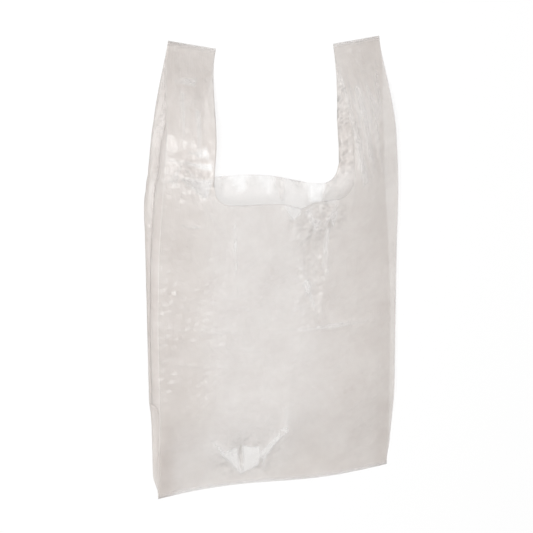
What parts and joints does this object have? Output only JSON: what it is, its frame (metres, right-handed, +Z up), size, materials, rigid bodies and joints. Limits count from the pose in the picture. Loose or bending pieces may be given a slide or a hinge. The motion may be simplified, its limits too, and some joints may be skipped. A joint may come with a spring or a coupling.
{
  "type": "plastic carrier bag",
  "caption": "Empty vest-style carrier bag of thin milky film, with folded-in sides, welded handle tops and a punched mouth, lying on its back",
  "frame": {"origin": "middle of the bag in plan, on the surface that its back lies on", "axes": "+X to the right of the front, +Y from the bottom weld to the handles, +Z up out of the front"},
  "size_m": [0.3034, 0.5558, 0.0499],
  "materials": {
    "film": "thin milky translucent film, softly glossy, creased and finely crinkled"
  },
  "bodies": {
    "root": {"carrier_bag": "film"}
  },
  "joints": []
}
